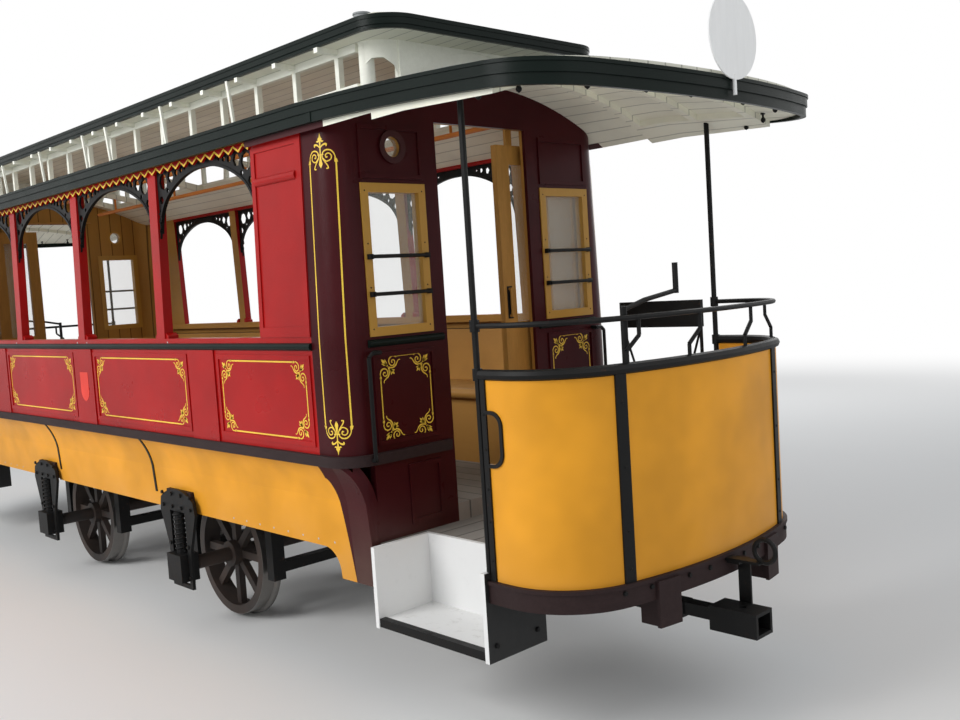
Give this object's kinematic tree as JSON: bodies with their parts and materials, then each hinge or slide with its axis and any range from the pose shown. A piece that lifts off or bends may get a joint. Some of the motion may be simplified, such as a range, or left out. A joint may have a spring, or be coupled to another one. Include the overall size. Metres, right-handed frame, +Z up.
{
  "type": "horse tram",
  "caption": "Two-axle open-sided horse tram with roofed end platforms, sliding end doors, entrance gates, steps, a ventilated raised roof and turning wheelsets.",
  "frame": {"origin": "on the ground line under the middle of the car, level with the tips of the wheel flanges", "axes": "+X along the car towards the front platform, +Y across the car, +Z up"},
  "size_m": [8.818, 1.994, 3.2369],
  "materials": {
    "red_paint": "gloss coach enamel, red",
    "maroon_paint": "gloss coach enamel on boards, maroon",
    "red_timber": "gloss coach enamel on timber, red",
    "ochre_paint": "satin enamel, ochre",
    "ochre_timber": "varnished and ochre painted timber",
    "cream_timber": "satin paint on boards, cream",
    "black_timber": "gloss paint on timber, green-black",
    "dark_timber": "worn dark stained oak",
    "plank": "worn grey planks",
    "white_steel": "satin paint, white",
    "black_iron": "gloss paint on iron, black",
    "wheel_iron": "worn iron with bright treads",
    "window_glass": "clear"
  },
  "bodies": {
    "car": {"axle_boxes": "wheel_iron", "axle_guards": "black_iron", "belt_rails": "black_timber", "benches": "ochre_timber", "bottom_rails": "dark_timber", "brackets": "black_iron", "brake_gear": "black_iron", "bulkheads": "maroon_paint", "clerestory": "cream_timber", "clerestory_moulding": "black_timber", "clerestory_roof": "cream_timber", "corner_posts": "maroon_paint", "crossbearers": "dark_timber", "dash_trim": "black_iron", "dashes": "ochre_paint", "door_tracks": "ochre_timber", "draw_gear": "black_iron", "fascia": "black_timber", "grab_rails": "ochre_timber", "handrails": "black_iron", "hoods": "cream_timber", "platform_bearers": "dark_timber", "platform_floors": "plank", "platform_rims": "dark_timber", "rockers": "ochre_paint", "roof_sides": "cream_timber", "route_disc": "white_steel", "saloon_floor": "plank", "side_frames": "red_timber", "side_panels": "red_paint", "sills": "dark_timber", "step_nosings": "black_iron", "steps": "white_steel", "valances": "red_paint", "window_bars": "black_iron", "window_frames": "ochre_timber", "window_panes": "window_glass"},
    "wheelset_front": {"wheelset_front": "wheel_iron"},
    "wheelset_rear": {"wheelset_rear": "wheel_iron"},
    "door_front": {"door_leaf_front": "ochre_timber", "door_glass_front": "window_glass"},
    "door_rear": {"door_leaf_rear": "ochre_timber", "door_glass_rear": "window_glass"},
    "gate_front_body": {"gate_front": "black_iron"},
    "gate_rear_body": {"gate_rear": "black_iron"}
  },
  "joints": [
    {"name": "axle_front", "type": "hinge", "parent": "car", "child": "wheelset_front", "pos_m": [1.025, 0, 0.393], "axis": [0, 1, 0], "continuous": true},
    {"name": "axle_rear", "type": "hinge", "parent": "car", "child": "wheelset_rear", "pos_m": [-1.025, 0, 0.393], "axis": [0, 1, 0], "continuous": true},
    {"name": "door_slide_front", "type": "slide", "parent": "car", "child": "door_front", "axis": [0, -1, 0], "range_m": [0, 0.495]},
    {"name": "door_slide_rear", "type": "slide", "parent": "car", "child": "door_rear", "axis": [0, 1, 0], "range_m": [0, 0.495]},
    {"name": "gate_hinge_front", "type": "hinge", "parent": "car", "child": "gate_front_body", "pos_m": [3.578, 0.848, 1.2], "axis": [0, 0, 1], "range_deg": [0, 90]},
    {"name": "gate_hinge_rear", "type": "hinge", "parent": "car", "child": "gate_rear_body", "pos_m": [-3.578, -0.848, 1.2], "axis": [0, 0, 1], "range_deg": [0, 90]}
  ]
}
